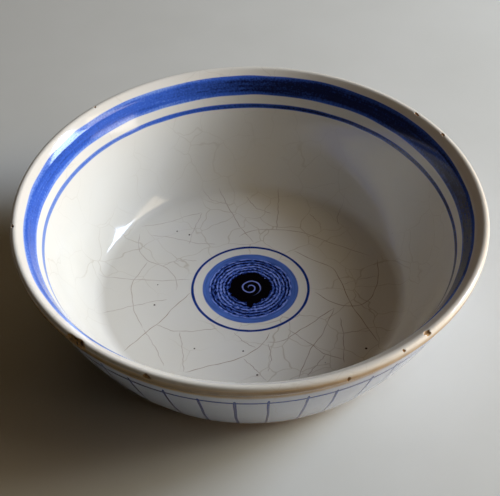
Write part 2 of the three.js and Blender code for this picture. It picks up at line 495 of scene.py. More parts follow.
class Finish:
    """A material under way: its node tree, its shader and the places that patterns are drawn by."""

    def __init__(self, name: str) -> None:
        """Starts a material with an empty pattern.

        Args:
            name: the material's name.
        """
        self.material = bpy.data.materials.new(name)
        self.material.use_nodes = True
        self.tree = self.material.node_tree
        self.shader = self.tree.nodes["Principled BSDF"]
        self.node = partial(add_node, self.tree)
        self.place = self.node("TexCoord", {}, out="Object")
        level = self.node("VectorMath", {0: self.place, 1: (1, 1, 0)}, operation="MULTIPLY")
        self.radius = self.node("VectorMath", {0: level}, out="Value", operation="LENGTH")
        self.bearing = self.node("VectorMath", {0: level}, operation="NORMALIZE")

    def sheet(self, across: Socket, arc: float, width: float) -> Socket:
        """Places for a pattern that runs round the bowl: the bearing by arc, and a distance by width.

        Args:
            across: distance over the pattern, in metres.
            arc: waves of the pattern in one radius of arc.
            width: length of one wave of the pattern over it, in metres.

        Returns:
            A vector that has no seam round the bowl.
        """
        over = self.node("Math", {0: across, 1: 1 / width}, operation="MULTIPLY")
        over = self.node("CombineXYZ", {"Z": over})
        return self.node("VectorMath", {0: self.bearing, 1: (arc, arc, 0), 2: over}, operation="MULTIPLY_ADD")

    def edged(self, colour: Socket, beyond: str, soft_edge: float) -> Socket:
        """Fades a paint's colour into what lies beyond its edge.

        Args:
            colour: colour of the paint.
            beyond: colour at the edge itself.
            soft_edge: width of the fade, in metres.

        Returns:
            The faded colour.
        """
        edge = self.node("Attribute", {}, out="Fac", attribute_name=Mark.EDGE.value)
        cover = self.node("MapRange", {"Value": edge, "From Max": soft_edge})
        return self.node("Mix", {0: cover, 1: linear(beyond), 2: colour}, data_type="RGBA")

    def finish(self, colour: Socket, **sockets: object) -> Material:
        """Sets the shader's colour and other sockets.

        Args:
            colour: socket of the base colour.
            sockets: value or output socket of each further input, with an underscore for each space.

        Returns:
            The finished material.
        """
        self.tree.links.new(colour, self.shader.inputs["Base Color"])
        for name, value in sockets.items():
            socket = self.shader.inputs[name.replace("_", " ")]
            if isinstance(value, Socket):
                self.tree.links.new(value, socket)
            else:
                socket.default_value = value
        return self.material


@dataclass(frozen=True)
class FiredClay:
    """Fired earthenware, turned and left bare: matt, sandy brown, with grit and fine turning rings."""

    light: str = "#b98f63"
    dark: str = "#8a6240"
    blotch: float = 9 * MM
    grit: float = 0.7 * MM
    turning: float = 1.1 * MM
    turning_arc: float = 1.5
    shade_low: float = 0.75
    shade_high: float = 1.25
    relief: float = 0.06 * MM
    roughness: float = 0.85

    def material(self) -> Material:
        """Makes the clay's material.

        Returns:
            The finished material.
        """
        finish = Finish("fired_earthenware")
        node = finish.node
        blotches = node("TexNoise", {"Vector": finish.place, "Scale": 1 / self.blotch, "Detail": 6.0})
        grit = node("TexNoise", {"Vector": finish.place, "Scale": 1 / self.grit, "Detail": 2.0})
        shade = node("Math", {0: blotches, 1: grit}, operation="ADD")
        shade = node("MapRange", {"Value": shade, "From Min": self.shade_low, "From Max": self.shade_high})
        colour = node("Mix", {0: shade, 1: linear(self.dark), 2: linear(self.light)}, data_type="RGBA")
        turned = finish.sheet(finish.radius, self.turning_arc, self.turning)
        rings = node("TexNoise", {"Vector": turned, "Scale": 1.0})
        height = node("Math", {0: rings, 1: grit}, operation="ADD")
        normal = node("Bump", {"Height": height, "Distance": self.relief, "Strength": 1.0})
        return finish.finish(colour, Normal=normal, Roughness=self.roughness, IOR=MATT_IOR)


@dataclass(frozen=True)
class WhiteGlaze:
    """Opaque white glaze, poured and fired: glossy, faintly warm, with crazing, specks and broken places.

    A faint net of hair cracks runs all over it, drawn wider than real ones so that they show, and fainter up
    the wall. The wide cracks of the floor are strips of their own. Under the lip the glaze is tan where it
    ran thin over the clay, then umber, which is painted shade under the lip. A chip is matt: light clay,
    painted dark towards the bottom of its hollow as the hollow's shade.
    """

    name: str = "crazed_white_glaze"
    white: str = "#eae7dd"
    cream: str = "#e3ddcd"
    crack: str = "#a48f66"
    speck: str = "#5a4c40"
    tan: str = "#b4966a"
    shaded_umber: str = "#7a6140"
    chip_light: str = "#d0a262"
    chip_shaded: str = "#452d17"
    cloud: float = 45 * MM
    crack_cell: float = 19 * MM
    crack_width: float = 0.3 * MM
    crack_wander: float = 9 * MM
    crack_bend: float = 5.4 * MM
    crack_depth: float = 0.5
    crack_sink: float = 0.3
    faint_low: float = 0.4
    faint_high: float = 0.65
    wall_from: float = 68 * MM
    wall_to: float = 96 * MM
    wall_share: float = 0.4
    patch: float = 9 * MM
    patch_share: float = 0.78
    patch_low: float = 0.3
    patch_high: float = 0.7
    half_thin: float = 0.5
    chip_grain: float = 2.0 * MM
    grain_low: float = 0.42
    grain_high: float = 0.56
    hollow_shade_from: float = 0.6
    chip_unshaded: float = 0.55
    chip_edge: float = 0.5
    chip_roughness: float = 0.7
    speck_cell: float = 23 * MM
    speck_radius: float = 0.4 * MM
    speck_depth: float = 0.8
    ripple: float = 9 * MM
    ripple_arc: float = 1.2
    relief: float = 0.05 * MM
    roughness: float = 0.09

    def material(self) -> Material:
        """Makes the glaze's material.

        Returns:
            The finished material.
        """
        finish = Finish(self.name)
        node = finish.node
        along = node("Attribute", {}, out="Fac", attribute_name=Mark.ALONG.value)
        chip = node("Attribute", {}, out="Fac", attribute_name=Mark.CHIP.value)
        # This mark is thin glaze, with painted shade under the lip and painted light on the lit side.
        bare = node("Attribute", {}, out="Fac", attribute_name=Mark.THIN_AND_SHADE.value)

        clouds = node("TexNoise", {"Vector": finish.place, "Scale": 1 / self.cloud, "Detail": 4.0})
        colour = node("Mix", {0: clouds, 1: linear(self.white), 2: linear(self.cream)}, data_type="RGBA")
        cracks = self.cracks(finish, along)
        colour = node("Mix", {0: cracks, 1: colour, 2: linear(self.crack)}, data_type="RGBA")
        specks = self.specks(finish)
        colour = node("Mix", {0: specks, 1: colour, 2: linear(self.speck)}, data_type="RGBA")

        patches = node("TexNoise", {"Vector": finish.place, "Scale": 1 / self.patch, "Detail": 4.0})
        patchy = {"Value": patches, "From Min": self.patch_low, "From Max": self.patch_high}
        patchy = node("MapRange", {**patchy, "To Min": self.patch_share})
        thin = node("Math", {0: patchy, 1: bare}, operation="MULTIPLY")
        half_bare = node("MapRange", {"Value": thin, "From Max": self.half_thin})
        colour = node("Mix", {0: half_bare, 1: colour, 2: linear(self.tan)}, data_type="RGBA")
        # Umber over the barest places is painted shade under the lip.
        shaded_share = node("MapRange", {"Value": thin, "From Min": self.half_thin})
        colour = node("Mix", {0: shaded_share, 1: colour, 2: linear(self.shaded_umber)}, data_type="RGBA")

        # Chips: light clay, painted dark towards the bottom of a deep hollow as its shade.
        grain = node("TexNoise", {"Vector": finish.place, "Scale": 1 / self.chip_grain, "Detail": 4.0})
        grain = node("MapRange", {"Value": grain, "From Min": self.grain_low, "From Max": self.grain_high})
        little_hollow_shade = {"Value": chip, "From Min": self.hollow_shade_from, "To Min": self.chip_unshaded, "To Max": 0.0}
        unshaded = {0: grain, 1: node("MapRange", little_hollow_shade)}
        unshaded = node("Math", unshaded, operation="ADD", use_clamp=True)
        clay = {0: unshaded, 1: linear(self.chip_shaded), 2: linear(self.chip_light)}
        clay = node("Mix", clay, data_type="RGBA")
        cover = node("MapRange", {"Value": chip, "From Max": self.chip_edge})
        colour = node("Mix", {0: cover, 1: colour, 2: clay}, data_type="RGBA")

        rings = finish.sheet(along, self.ripple_arc, self.ripple)
        rings = node("TexNoise", {"Vector": rings, "Scale": 1.0, "Detail": 2.0})
        sunk = node("Math", {0: cracks, 1: -self.crack_sink, 2: rings}, operation="MULTIPLY_ADD")
        height = node("Math", {0: chip, 1: grain, 2: sunk}, operation="MULTIPLY_ADD")
        normal = node("Bump", {"Height": height, "Distance": self.relief, "Strength": 1.0})
        rough = {0: chip, 1: self.chip_roughness, 2: self.roughness}
        rough = node("Math", rough, operation="MULTIPLY_ADD")
        return finish.finish(colour, Normal=normal, Roughness=rough, IOR=GLAZE_IOR)

    def specks(self, finish: Finish) -> Socket:
        """Strength of the specks: one in each cell, as wide as the cell's own chance value allows.

        Args:
            finish: the material under way.

        Returns:
            A socket from 0, clean glaze, to the depth of a speck.
        """
        cells = {"Vector": finish.place, "Scale": 1 / self.speck_cell}
        reach = finish.node("TexVoronoi", cells, out="Distance")
        chance = finish.node("TexVoronoi", cells, out="Color")
        size = {0: chance, 1: self.speck_radius / self.speck_cell}
        size = finish.node("Math", size, operation="MULTIPLY")
        speck = finish.node("Math", {0: reach, 1: size}, operation="LESS_THAN")
        return finish.node("Math", {0: speck, 1: self.speck_depth}, operation="MULTIPLY")

    def cracks(self, finish: Finish, along: Socket) -> Socket:
        """Strength of the crazing: the borders of bent cells, lost in places by a slow noise.

        Args:
            finish: the material under way.
            along: distance along the skin.

        Returns:
            A socket from 0, sound glaze, to the depth of a crack's stain.
        """
        node = finish.node
        wander = {"Vector": finish.place, "Scale": 1 / self.crack_wander, "Detail": 1.0}
        bend = {0: node("TexNoise", wander, out="Color"), 1: (self.crack_bend,) * 3, 2: finish.place}
        bent = node("VectorMath", bend, operation="MULTIPLY_ADD")
        cells = {"Vector": bent, "Scale": 1 / self.crack_cell}
        gap = node("TexVoronoi", cells, out="Distance", feature="DISTANCE_TO_EDGE")
        width = self.crack_width / self.crack_cell
        line = node("MapRange", {"Value": gap, "From Max": width, "To Min": 1.0, "To Max": 0.0})
        faint = node("TexNoise", {"Vector": finish.place, "Scale": 1 / self.cloud, "Detail": 1.0})
        faint = node("MapRange", {"Value": faint, "From Min": self.faint_low, "From Max": self.faint_high})
        line = node("Math", {0: line, 1: faint}, operation="MULTIPLY")
        wall = {"Value": along, "From Min": self.wall_from, "From Max": self.wall_to}
        wall = node("MapRange", {**wall, "To Min": 1.0, "To Max": self.wall_share})
        line = node("Math", {0: line, 1: wall}, operation="MULTIPLY")
        return node("Math", {0: line, 1: self.crack_depth}, operation="MULTIPLY")


@dataclass(frozen=True)
class StainedCrack:
    """A crack in the glaze that food has stained: brown in the middle, lost in the glaze at its sides.

    A stain over 1 is a pinhole, which is nearly black.
    """

    glaze: str = "#e5e1d7"
    stain: str = "#937041"
    pinhole: str = "#332a22"
    soft_side: float = 0.2 * MM
    patch: float = 6 * MM
    patch_share: float = 0.5
    patch_low: float = 0.3
    patch_high: float = 0.6
    roughness: float = 0.2

    def material(self) -> Material:
        """Makes the stain's material.

        Returns:
            The finished material.
        """
        finish = Finish("stained_crazing")
        node = finish.node
        stain = node("Attribute", {}, out="Fac", attribute_name=Mark.STAIN.value)
        edge = node("Attribute", {}, out="Fac", attribute_name=Mark.EDGE.value)
        middle = node("MapRange", {"Value": edge, "From Max": self.soft_side})
        patches = node("TexNoise", {"Vector": finish.place, "Scale": 1 / self.patch, "Detail": 2.0})
        patchy = {"Value": patches, "From Min": self.patch_low, "From Max": self.patch_high}
        patchy = node("MapRange", {**patchy, "To Min": self.patch_share})
        share = node("Math", {0: middle, 1: patchy}, operation="MULTIPLY")
        share = node("Math", {0: share, 1: stain}, operation="MULTIPLY", use_clamp=True)
        colour = node("Mix", {0: share, 1: linear(self.glaze), 2: linear(self.stain)}, data_type="RGBA")
        hole = node("Math", {0: stain, 1: 1.0}, operation="SUBTRACT", use_clamp=True)
        colour = node("Mix", {0: hole, 1: colour, 2: linear(self.pinhole)}, data_type="RGBA")
        return finish.finish(colour, Roughness=self.roughness, IOR=GLAZE_IOR)


@dataclass(frozen=True)
class CobaltBrush:
    """Cobalt brushed on the raw glaze and fired into it: glossy, streaky, pale where it is thin.

    The streaks run round the bowl. The load is painted shade and light: it rises towards one bearing, on the
    side turned from the light, and falls away from it, with the cosine of the angle between, from the shade
    cosine to the light one. As the load grows, the colour goes from pale to blue, and from blue to deep.
    """

    name: str = "brushed_cobalt"
    pale: str = "#7c9de4"
    blue: str = "#3b62c2"
    deep: str = "#16224c"
    glaze: str = "#e9e4da"
    streak_width: float = 1.3 * MM
    streak_arc: float = 4.0
    mottle: float = 1.1 * MM
    soft_edge: float = 0.45 * MM
    pale_edge: float = 2.8 * MM
    core_load: float = 0.65
    streak_load: float = 1.0
    mottle_load: float = 0.9
    shade_bearing: float = radians(30)
    shade_cosine: float = 0.6
    light_cosine: float = 0.1
    shade_load: float = 0.7
    light_load: float = 0.0
    pale_until: float = 0.95
    blue_from: float = 1.5
    blue_until: float = 1.6
    deep_from: float = 2.3
    roughness: float = 0.1

    def material(self) -> Material:
        """Makes the paint's material.

        Returns:
            The finished material.
        """
        finish = Finish(self.name)
        node = finish.node
        edge = node("Attribute", {}, out="Fac", attribute_name=Mark.EDGE.value)
        along = node("Attribute", {}, out="Fac", attribute_name=Mark.ALONG.value)
        streaks = finish.sheet(along, self.streak_arc, self.streak_width)
        streaks = node("TexNoise", {"Vector": streaks, "Scale": 1.0, "Detail": 4.0})
        mottle = node("TexNoise", {"Vector": finish.place, "Scale": 1 / self.mottle, "Detail": 3.0})
        load = node("MapRange", {"Value": edge, "From Max": self.pale_edge, "To Max": self.core_load})
        load = node("Math", {0: streaks, 1: self.streak_load, 2: load}, operation="MULTIPLY_ADD")
        load = node("Math", {0: mottle, 1: self.mottle_load, 2: load}, operation="MULTIPLY_ADD")
        # Painted shade and light: more load towards the shade bearing, less away from it.
        full = (cos(self.shade_bearing), sin(self.shade_bearing), 0)
        turned = node("VectorMath", {0: finish.bearing, 1: full}, out="Value", operation="DOT_PRODUCT")
        brush = {"Value": turned, "From Min": self.light_cosine, "From Max": self.shade_cosine}
        brush = node("MapRange", {**brush, "To Min": self.light_load, "To Max": self.shade_load})
        load = node("Math", {0: load, 1: brush}, operation="ADD")
        body = node("MapRange", {"Value": load, "From Min": self.pale_until, "From Max": self.blue_from})
        colour = node("Mix", {0: body, 1: linear(self.pale), 2: linear(self.blue)}, data_type="RGBA")
        body = node("MapRange", {"Value": load, "From Min": self.blue_until, "From Max": self.deep_from})
        colour = node("Mix", {0: body, 1: colour, 2: linear(self.deep)}, data_type="RGBA")
        colour = finish.edged(colour, self.glaze, self.soft_edge)
        return finish.finish(colour, Roughness=self.roughness, IOR=GLAZE_IOR)


@dataclass(frozen=True)
class CobaltWash:
    """Cobalt wash turned on the wheel: mid blue, scored by close rings that are dark and pale by turns.

    The rings are a sine of the radius, broken up by a grain that runs round the bowl. Dark ones crowd in two
    belts a beat apart, as a cosine of the radius, and the rim of the wash is left plain.
    """

    wash: str = "#4362b4"
    rim: str = "#5576c4"
    dark: str = "#0c133c"
    pale: str = "#8a9ee2"
    glaze: str = "#e9e4da"
    dark_belt: float = 19.4 * MM
    beat: float = 6.7 * MM
    beat_share: float = 0.07
    ring_pitch: float = 1.9 * MM
    ring_share: float = 0.16
    grain_width: float = 0.75 * MM
    grain_arc: float = 8.0
    grain_share: float = 1.15
    dark_from: float = -0.02
    dark_full: float = -0.12
    pale_from: float = 0.1
    pale_full: float = 0.2
    streak_width: float = 0.9 * MM
    streak_arc: float = 2.0
    streak_low: float = 0.3
    streak_high: float = 0.7
    tone_low: float = 0.6
    tone_high: float = 1.1
    sway_width: float = 6 * MM
    sway_arc: float = 3.0
    wobble: float = 0.8 * MM
    plain_from: float = 22.6 * MM
    plain_fade: float = 0.8 * MM
    soft_edge: float = 0.5 * MM
    roughness: float = 0.12

    def material(self) -> Material:
        """Makes the wash's material.

        Returns:
            The finished material.
        """
        finish = Finish("cobalt_wash")
        node = finish.node
        sway = finish.sheet(finish.radius, self.sway_arc, self.sway_width)
        sway = node("TexNoise", {"Vector": sway, "Scale": 1.0, "Detail": 3.0})
        bent = node("Math", {0: sway, 1: 2 * self.wobble, 2: finish.radius}, operation="MULTIPLY_ADD")
        from_belt = node("Math", {0: bent, 1: self.dark_belt + self.wobble}, operation="SUBTRACT")
        plain_to = self.plain_from - self.plain_fade
        inner = {"Value": finish.radius, "From Min": self.plain_from, "From Max": plain_to}
        inner = node("MapRange", inner)

        streaks = finish.sheet(bent, self.streak_arc, self.streak_width)
        streaks = node("TexNoise", {"Vector": streaks, "Scale": 1.0, "Detail": 3.0})
        tone = {"Value": streaks, "From Min": self.streak_low, "From Max": self.streak_high}
        tone = node("MapRange", {**tone, "To Min": self.tone_low, "To Max": self.tone_high})
        colour = node("Mix", {0: inner, 1: linear(self.rim), 2: linear(self.wash)}, data_type="RGBA")
        colour = node("Mix", {0: 1.0, 1: colour, 2: tone}, data_type="RGBA", blend_type="MULTIPLY")

        rings = node("Math", {0: from_belt, 1: FULL_TURN / self.ring_pitch}, operation="MULTIPLY")
        rings = node("Math", {0: rings}, operation="SINE")
        crowd = node("Math", {0: from_belt, 1: FULL_TURN / self.beat}, operation="MULTIPLY")
        crowd = node("Math", {0: crowd}, operation="COSINE")
        grain = finish.sheet(bent, self.grain_arc, self.grain_width)
        grain = node("TexNoise", {"Vector": grain, "Scale": 1.0, "Detail": 3.0})
        about_zero = {0: grain, 1: self.grain_share, 2: -self.grain_share / 2}
        score = node("Math", about_zero, operation="MULTIPLY_ADD")
        score = node("Math", {0: rings, 1: self.ring_share, 2: score}, operation="MULTIPLY_ADD")
        score = node("Math", {0: crowd, 1: -self.beat_share, 2: score}, operation="MULTIPLY_ADD")
        dark = node("MapRange", {"Value": score, "From Min": self.dark_from, "From Max": self.dark_full})
        dark = node("Math", {0: dark, 1: inner}, operation="MULTIPLY")
        colour = node("Mix", {0: dark, 1: colour, 2: linear(self.dark)}, data_type="RGBA")
        pale = node("MapRange", {"Value": score, "From Min": self.pale_from, "From Max": self.pale_full})
        pale = node("Math", {0: pale, 1: inner}, operation="MULTIPLY")
        colour = node("Mix", {0: pale, 1: colour, 2: linear(self.pale)}, data_type="RGBA")
        colour = finish.edged(colour, self.glaze, self.soft_edge)
        return finish.finish(colour, Roughness=self.roughness, IOR=GLAZE_IOR)


@dataclass(frozen=True)
class DarkCobalt:
    """Thick cobalt, fired nearly black, with a pale spiral wiped through it by a fingertip on the wheel.

    The spiral is where the radius in pitches and the turn add up to a whole number. A slow noise sways it.
    """

    dark: str = "#020207"
    blue: str = "#2c4391"
    pale: str = "#8796dc"
    pitch: float = 3.1 * MM
    line: float = 0.62 * MM
    line_core: float = 0.6
    line_reach: float = 1.6
    spiral_inner: float = 1.6 * MM
    spiral_outer: float = 6.6 * MM
    spiral_fade: float = 0.5 * MM
    sway: float = 5 * MM
    sway_reach: float = 1.2 * MM
    soft_edge: float = 0.35 * MM
    roughness: float = 0.12

    def material(self) -> Material:
        """Makes the dark paint's material.

        Returns:
            The finished material.
        """
        finish = Finish("thick_dark_cobalt")
        node = finish.node
        across = node("SeparateXYZ", {"Vector": finish.bearing}, out="X")
        behind = node("SeparateXYZ", {"Vector": finish.bearing}, out="Y")
        turn = node("Math", {0: behind, 1: across}, operation="ARCTAN2")
        turn = node("Math", {0: turn, 1: 1 / FULL_TURN}, operation="MULTIPLY")
        sway = node("TexNoise", {"Vector": finish.place, "Scale": 1 / self.sway, "Detail": 2.0})
        bent = node("Math", {0: sway, 1: self.sway_reach, 2: finish.radius}, operation="MULTIPLY_ADD")
        phase = node("Math", {0: bent, 1: 1 / self.pitch, 2: turn}, operation="MULTIPLY_ADD")
        phase = node("Math", {0: phase, 1: 0.5}, operation="PINGPONG")
        half_line = self.line / self.pitch / 2
        line = {"From Min": half_line * self.line_reach, "From Max": half_line * self.line_core}
        line = node("MapRange", {"Value": phase, **line})
        outer = {"From Min": self.spiral_outer, "From Max": self.spiral_outer - self.spiral_fade}
        outer = node("MapRange", {"Value": bent, **outer})
        line = node("Math", {0: line, 1: outer}, operation="MULTIPLY")
        inner = {"From Min": self.spiral_inner, "From Max": self.spiral_inner + self.spiral_fade}
        inner = node("MapRange", {"Value": bent, **inner})
        line = node("Math", {0: line, 1: inner}, operation="MULTIPLY")
        colour = node("Mix", {0: line, 1: linear(self.dark), 2: linear(self.pale)}, data_type="RGBA")
        colour = finish.edged(colour, self.blue, self.soft_edge)
        return finish.finish(colour, Roughness=self.roughness, IOR=GLAZE_IOR)


@dataclass(frozen=True)
class PaintedTable:
    """Painted board: pale, matt grey with faint clouds, a plain ground for the bowl."""

    light: str = "#d5d4cb"
    dark: str = "#cac9bf"
    cloud: float = 60 * MM
    roughness: float = 0.6

    def material(self) -> Material:
        """Makes the floor's material.

        Returns:
            The finished material.
        """
        finish = Finish("painted_board")
        clouds = finish.node("TexNoise", {"Vector": finish.place, "Scale": 1 / self.cloud, "Detail": 5.0})
        colours = {0: clouds, 1: linear(self.dark), 2: linear(self.light)}
        colour = finish.node("Mix", colours, data_type="RGBA")
        return finish.finish(colour, Roughness=self.roughness, IOR=MATT_IOR)


@dataclass(frozen=True)
class Chip:
    """A broken place in the glaze: its bearing, its drop down the outside from the crest, and its size.

    The hollow shade goes from about 0.6, light clay, to 1, clay painted dark towards the chip's bottom as
    the shade of its hollow. A lobe is the number of waves round the outline and their size.
    """

    bearing: float
    drop: float
    half_width: float
    half_height: float
    depth: float = 0.85 * MM
    hollow_shade: float = 1.0
    seed: int = 1

    LOBES = ((2, 0.18), (3, 0.13), (5, 0.08))
    OUTER_REACH = 1.05
    INNER_REACH = 0.72
    DISH = 0.35
    STAIN_START = 0.05
    STAIN_FULL = 0.4

    def share(self, beyond_crest: Array, arc: Array) -> Array:
        """How deep a place lies in the chip.

        The outline is an ellipse whose reach wavers with the direction from its middle, by the cosines of the
        lobes. The depth falls off as the square of the reach does, with a steep edge.

        Args:
            beyond_crest: distances from the crest, positive outside.
            arc: distances round the rim from the chip's bearing.

        Returns:
            From 0, sound, to 1, the chip's bottom.
        """
        up = (beyond_crest - self.drop) / self.half_height
        side = arc / self.half_width
        turn = np.arctan2(up, side)
        phases = np.random.default_rng(self.seed).uniform(0, FULL_TURN, len(self.LOBES))
        outline = 1
        for (waves, size), phase in zip(self.LOBES, phases):
            outline = outline + size * np.cos(waves * turn + phase)
        reach = np.hypot(up, side) / outline
        bottom = 1 - self.DISH * np.clip(reach, 0, 1) ** 2
        return eased(reach, self.OUTER_REACH, self.INNER_REACH) * bottom

    def stain(self, share: Array) -> Array:
        """Mark of the chip's painted hollow shade at a share of its depth, eased in from its edge."""
        return self.hollow_shade * eased(share, self.STAIN_START, self.STAIN_FULL)


@dataclass
class ClayBody:
    """The thrown clay under the glaze, with its turned foot ring."""

    skin: Skin
    depth: float = 1.05 * MM
    foot_radius: float = 79 * MM
    foot_width: float = 8 * MM
    foot_recess: float = 4 * MM
    foot_rounding: float = 0.8 * MM
    columns: int = 240
    recess_points: int = 40
    side_points: int = 6
    sole_points: int = 8
    shoulder_points: int = 4
    wall_points: int = 190
    seen_wall_points: int = 20

    def foot_profile(self) -> Array:
        """Profile from the middle of the recess to the wall's lower end, with the sole's edges rounded.

        Returns:
            Radius and height of each point.
        """
        sole = self.foot_radius - self.foot_width
        turn = np.linspace(0, pi / 2, self.side_points)
        bow = self.foot_rounding * np.stack([1 - np.cos(turn), 1 - np.sin(turn)], axis=1)
        inner_edge = np.array([sole, 0]) + bow
        outer_edge = np.array([self.foot_radius, 0]) + bow[::-1] * [-1, 1]
        recess_edge = np.array([sole, self.foot_recess])
        radius, height = self.skin.profile(self.skin.end_of("outside"), -self.depth)
        foot_top = np.array([self.foot_radius, height])
        recess = np.linspace([0, self.foot_recess], recess_edge, self.recess_points)
        inner_side = np.linspace(recess_edge, inner_edge[0], self.side_points)[1:-1]
        resting_face = np.linspace(inner_edge[-1], outer_edge[0], self.sole_points)[1:-1]
        outer_side = np.linspace(outer_edge[-1], foot_top, self.side_points)[1:]
        shoulder = np.linspace(foot_top, [radius, height], self.shoulder_points)[1:-1]
        return np.vstack([recess, inner_side, inner_edge, resting_face, outer_edge, outer_side, shoulder])

    def build(self, material: Material) -> bpy.types.Object:
        """Turns the foot's profile and the skin at the clay's depth about the axis.

        Args:
            material: finish of the clay.

        Returns:
            The clay's piece.
        """
        foot = self.foot_profile()
        along = np.linspace(self.skin.end_of("outside"), 0, self.wall_points)
        wall = np.stack(self.skin.profile(along, -self.depth), axis=1)
        profile = np.vstack([foot, wall])
        angle = -np.linspace(0, FULL_TURN, self.columns, endpoint=False)
        radius, height = profile[:, :1], profile[:, 1:]
        points = np.stack([radius * np.cos(angle), radius * np.sin(angle), height + 0 * angle], axis=-1)
        steps = np.linalg.norm(np.diff(profile, axis=0, prepend=profile[:1]), axis=1)
        seen = len(foot) + self.seen_wall_points
        spread = MAP_REACH * np.cumsum(steps) / steps[:seen].sum()
        shell = Shell(points, spread[:, None], angle, seen, True, {})
        return make_piece("clay_body", [shell], material)


@dataclass
class GlazeCoats:
    """The two white coats: one inside that runs over the lip to the neck, and one from there to the foot.

    The glaze is thin under the lip, between distances from the crest that are positive outside, and deeper in
    painted shade there, but less on the lit +X side as painted light. The slope is the lip's inner side with
    the crest, which takes painted warm shade at +X, where it turns away from the light.
    """

    skin: Skin
    thickness: float = 1 * MM
    joint: float = 0.01 * MM
    foot_clear: float = 3 * MM
    foot_waver: float = 0.35 * MM
    foot_roll: float = 1.2 * MM
    thin_start: float = 0.9 * MM
    thin_full: float = 4.8 * MM
    thin_fade: float = 11 * MM
    thin_stop: float = 15.5 * MM
    lit_share: float = 0.45
    slope_start: float = -7 * MM
    slope_full: float = -4.5 * MM
    slope_fade: float = 2.8 * MM
    slope_stop: float = 5.5 * MM
    slope_shade_share: float = 0.2
    columns: int = 360
    chip_columns: int = 18
    chip_margin: float = 1.3
    floor_rows: int = 16
    cove_rows: int = 20
    wall_rows: int = 50
    lip_rows: int = 46
    under_rows: int = 22
    back_rows: int = 34
    outside_rows: int = 90
    outside_back_rows: int = 20
    map_inner: float = 0.22
    map_outer: float = 0.49
    # Each chip's hollow is painted dark towards its bottom, as shade.
    chips: tuple[Chip, ...] = (
        Chip(radians(228.8), drop=2.2 * MM, half_width=5.4 * MM, half_height=2.6 * MM, seed=4),
        Chip(radians(247.4), drop=2.4 * MM, half_width=1.9 * MM, half_height=1.2 * MM, hollow_shade=0.8, seed=5),
        Chip(radians(312.4), drop=0.45 * MM, half_width=2.1 * MM, half_height=1.5 * MM, hollow_shade=0.65, seed=6),
        Chip(radians(305.0), drop=1.4 * MM, half_width=0.8 * MM, half_height=0.7 * MM, hollow_shade=0.65, seed=7),
        Chip(radians(291.0), drop=3.9 * MM, half_width=0.9 * MM, half_height=1.1 * MM, seed=8),
        Chip(radians(38.5), drop=-0.7 * MM, half_width=1.6 * MM, half_height=0.9 * MM, hollow_shade=0.6, seed=9),
        Chip(radians(27.9), drop=-0.4 * MM, half_width=1.4 * MM, half_height=0.9 * MM, hollow_shade=0.6, seed=10),
        Chip(radians(186.8), drop=0.5 * MM, half_width=1.1 * MM, half_height=0.8 * MM, seed=11),
        Chip(radians(136.0), drop=-0.2 * MM, half_width=0.7 * MM, half_height=0.6 * MM, seed=12),
        Chip(radians(217.6), drop=3.6 * MM, half_width=1.2 * MM, half_height=0.8 * MM, seed=13),
    )

    def bearings(self) -> Array:
        """Angles of the inside coat's columns: even ones, with closer ones over each chip.

        Returns:
            Angles in order, each once.
        """
        angles = [np.linspace(0, FULL_TURN, self.columns, endpoint=False)]
        for chip in self.chips:
            reach = self.chip_margin * chip.half_width / self.skin.rim_radius
            angles.append(chip.bearing + np.linspace(-reach, reach, self.chip_columns))
        return np.unique(np.round(np.concatenate(angles), 5))

    def build(self, white: Material, shaded_bluish: Material) -> list[bpy.types.Object]:
        """Makes both coats.

        Args:
            white: finish of the inside coat.
            shaded_bluish: finish of the outside coat.

        Returns:
            The inside coat's piece and the outside one's.
        """
        inside = make_piece("inside_glaze", [self.inside_shell()], white)
        outside = make_piece("outside_glaze", [self.outside_shell()], shaded_bluish)
        return [inside, outside]

    def thin_glaze_and_shade(self, along: Array, angle: Array) -> Array:
        """How far the clay shows through the glaze, with painted light and shade on the lip.

        It is most under the lip, where its top is painted shade, and fades to nothing on the crest and a
        little below the neck. On the lit +X side it is less under the lip, by twice the cosine of the angle
        up to one, as painted light, and the slope takes painted warm shade there, by the cosine.

        Args:
            along: distances along the skin.
            angle: angles round the axis.

        Returns:
            From 0, thick white glaze, to 1, clay in painted shade.
        """
        beyond = along - self.skin.end_of("lip_inside")
        under = eased(beyond, self.thin_start, self.thin_full) * eased(beyond, self.thin_stop, self.thin_fade)
        # Painted light: less of the mark on the lit +X side.
        under = under * (1 - self.lit_share * np.clip(2 * np.cos(angle), 0, 1))
        # Painted warm shade on the slope at +X, where it turns away from the light.
        slope = eased(beyond, self.slope_start, self.slope_full)
        slope = slope * eased(beyond, self.slope_stop, self.slope_fade)
        slope = self.slope_shade_share * slope * np.clip(np.cos(angle), 0, 1)
        return np.maximum(under, slope)

    def inside_shell(self) -> Shell:
        """The inside coat: the skin from the middle of the floor to the neck, sunk by the chips.

        The underside is the same skin at the coat's depth. Where chips meet, the deeper one counts.

        Returns:
            The closed coat.
        """
        skin = self.skin
        crest = skin.end_of("lip_inside")
        neck = skin.end_of("neck") - self.joint
        floor = np.linspace(0, skin.end_of("floor"), self.floor_rows)
        cove = np.linspace(skin.end_of("floor"), skin.end_of("cove"), self.cove_rows)[1:]
        wall = np.linspace(skin.end_of("cove"), skin.end_of("inside"), self.wall_rows)[1:]
        lip = np.linspace(skin.end_of("inside"), skin.end_of("lip_outside"), self.lip_rows)[1:]
        under_lip = np.linspace(skin.end_of("lip_outside"), neck, self.under_rows)[1:]
        seen = np.concatenate([floor, cove, wall, lip, under_lip])[:, None]
        back = np.linspace(neck, 0, self.back_rows)[:, None]
        angle = self.bearings()

